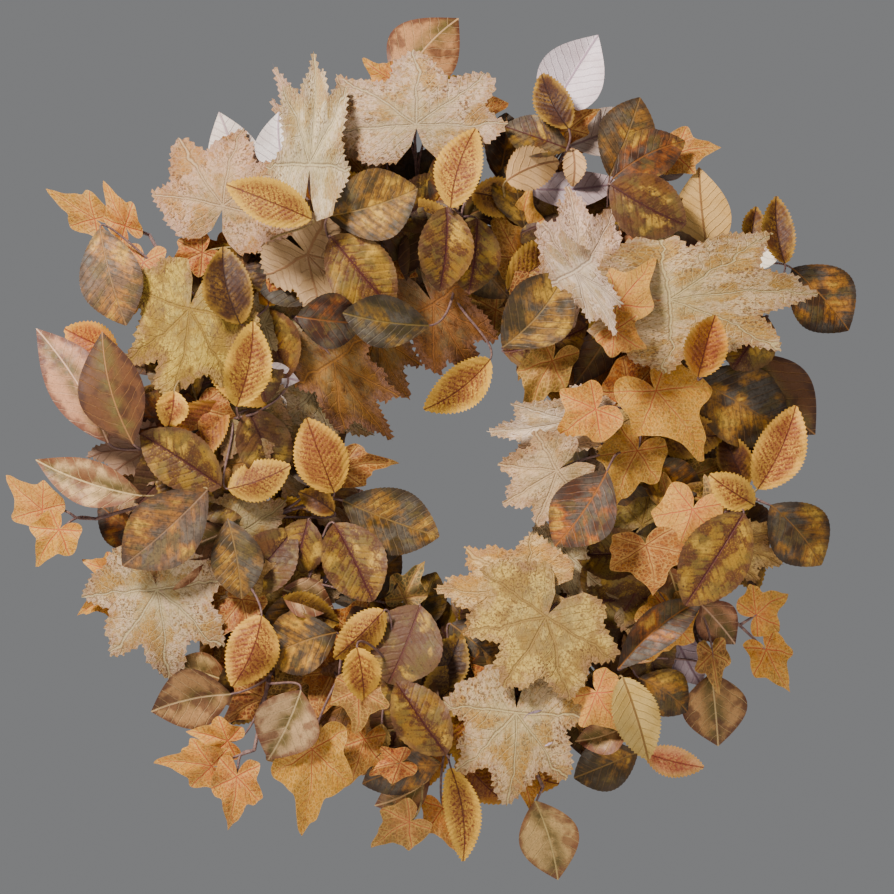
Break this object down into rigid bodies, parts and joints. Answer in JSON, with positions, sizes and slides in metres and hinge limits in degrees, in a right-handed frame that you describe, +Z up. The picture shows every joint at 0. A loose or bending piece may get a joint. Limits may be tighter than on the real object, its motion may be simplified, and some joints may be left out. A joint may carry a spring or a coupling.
{
  "type": "harvest door wreath",
  "caption": "Hanging door wreath of faux autumn grape, elm, magnolia, laurel and ivy leaf sprays wired to a ring of twisted vine canes, with a wire hanger loop.",
  "frame": {"origin": "underside of the hanger loop's top, where the door's hook bears", "axes": "+Z up, +X to the right of someone facing the door, -Y out of the door towards them"},
  "size_m": [0.6436, 0.1483, 0.657],
  "materials": {
    "vine_bark": "rough dry grapevine bark",
    "vine_tendril": "thin dry vine tendril",
    "hanger_wire": "plain annealed wire",
    "grape_leaf": "printed polyester leaf, taupe and olive, matt",
    "elm_leaf": "printed polyester leaf, golden with burgundy veins, matt",
    "rosy_leaf": "printed polyester leaf, olive gold with a burgundy midrib, matt",
    "magnolia_leaf": "printed polyester leaf, dark brown with ochre patches, satin",
    "laurel_leaf": "printed polyester leaf, tan with cream veins, matt",
    "ivy_leaf": "printed polyester leaf, orange ochre with red veins, matt"
  },
  "bodies": {
    "wreath": {"vine_core_cane_1": "vine_bark", "vine_core_cane_2": "vine_bark", "vine_core_cane_3": "vine_bark", "vine_outer_cane_1": "vine_bark", "vine_outer_cane_2": "vine_bark", "vine_outer_cane_3": "vine_bark", "vine_outer_cane_4": "vine_bark", "vine_tie_1": "vine_tendril", "vine_tie_2": "vine_tendril", "vine_tie_3": "vine_tendril", "vine_tie_4": "vine_tendril", "grape_spray_top": "grape_leaf", "grape_spray_top_left": "grape_leaf", "grape_spray_upper_left": "grape_leaf", "magnolia_spray_top_left": "magnolia_leaf", "elm_spray_top": "elm_leaf", "laurel_spray_top_right": "laurel_leaf", "elm_spray_top_right": "elm_leaf", "magnolia_spray_upper_right": "magnolia_leaf", "rosy_spray_upper_right": "rosy_leaf", "grape_spray_upper_right": "grape_leaf", "grape_spray_right": "grape_leaf", "elm_spray_right": "elm_leaf", "ivy_spray_upper_right": "ivy_leaf", "magnolia_spray_inner_top": "magnolia_leaf", "elm_spray_inner_top": "elm_leaf", "magnolia_spray_inner_left": "magnolia_leaf", "ivy_spray_inner_right": "ivy_leaf", "grape_spray_inner_right": "grape_leaf", "elm_spray_far_right": "elm_leaf", "rosy_spray_right": "rosy_leaf", "ivy_spray_lower_right": "ivy_leaf", "laurel_spray_right": "laurel_leaf", "magnolia_spray_lower_right": "magnolia_leaf", "elm_spray_lower_right": "elm_leaf", "grape_spray_lower_right": "grape_leaf", "grape_spray_inner_bottom": "grape_leaf", "grape_spray_bottom": "grape_leaf", "rosy_spray_bottom": "rosy_leaf", "magnolia_spray_bottom_left": "magnolia_leaf", "rosy_spray_inner_bottom": "rosy_leaf", "ivy_spray_lower_left": "ivy_leaf", "laurel_spray_lower_left": "laurel_leaf", "elm_spray_lower_left": "elm_leaf", "grape_spray_lower_left": "grape_leaf", "magnolia_spray_left": "magnolia_leaf", "laurel_spray_left": "laurel_leaf", "grape_spray_left": "grape_leaf", "elm_spray_left": "elm_leaf", "elm_spray_inner_left": "elm_leaf", "rosy_spray_inner_left": "rosy_leaf", "elm_spray_upper_left": "elm_leaf", "magnolia_spray_upper_left": "magnolia_leaf"},
    "hanger": {"hanger_loop": "hanger_wire"},
    "ivy_sprig_left": {"ivy_sprig_left": "ivy_leaf"},
    "ivy_sprig_upper_left": {"ivy_sprig_upper_left": "ivy_leaf"},
    "ivy_sprig_lower_left": {"ivy_sprig_lower_left": "ivy_leaf"},
    "ivy_sprig_right": {"ivy_sprig_right": "ivy_leaf"},
    "magnolia_sprig_right": {"magnolia_sprig_right": "magnolia_leaf"},
    "laurel_sprig_bottom": {"laurel_sprig_bottom": "laurel_leaf"}
  },
  "joints": [
    {"name": "hanger_swing", "type": "hinge", "parent": "wreath", "child": "hanger", "pos_m": [0, 0, -0.0421], "axis": [1, 0, 0], "range_deg": [-80, 0]},
    {"name": "ivy_sprig_left_bend", "type": "hinge", "parent": "wreath", "child": "ivy_sprig_left", "pos_m": [-0.262, -0.0239, -0.2621], "axis": [-0.022, 0, 0.9998], "range_deg": [-8, 25]},
    {"name": "ivy_sprig_upper_left_bend", "type": "hinge", "parent": "wreath", "child": "ivy_sprig_upper_left", "pos_m": [-0.222, -0.0125, -0.0451], "axis": [0.4714, 0, 0.8819], "range_deg": [-8, 25]},
    {"name": "ivy_sprig_lower_left_bend", "type": "hinge", "parent": "wreath", "child": "ivy_sprig_lower_left", "pos_m": [-0.14, -0.0663, -0.4361], "axis": [-0.5851, 0, 0.811], "range_deg": [-8, 25]},
    {"name": "ivy_sprig_right_bend", "type": "hinge", "parent": "wreath", "child": "ivy_sprig_right", "pos_m": [0.228, -0.028, -0.3431], "axis": [-0.3216, 0, -0.9469], "range_deg": [-8, 25]},
    {"name": "magnolia_sprig_right_bend", "type": "hinge", "parent": "wreath", "child": "magnolia_sprig_right", "pos_m": [0.24, -0.0481, -0.2471], "axis": [-0.669, 0, -0.7433], "range_deg": [-8, 25]},
    {"name": "laurel_sprig_bottom_bend", "type": "hinge", "parent": "wreath", "child": "laurel_sprig_bottom", "pos_m": [0.078, -0.0431, -0.4651], "axis": [-0.9974, 0, -0.0721], "range_deg": [-8, 25]}
  ]
}
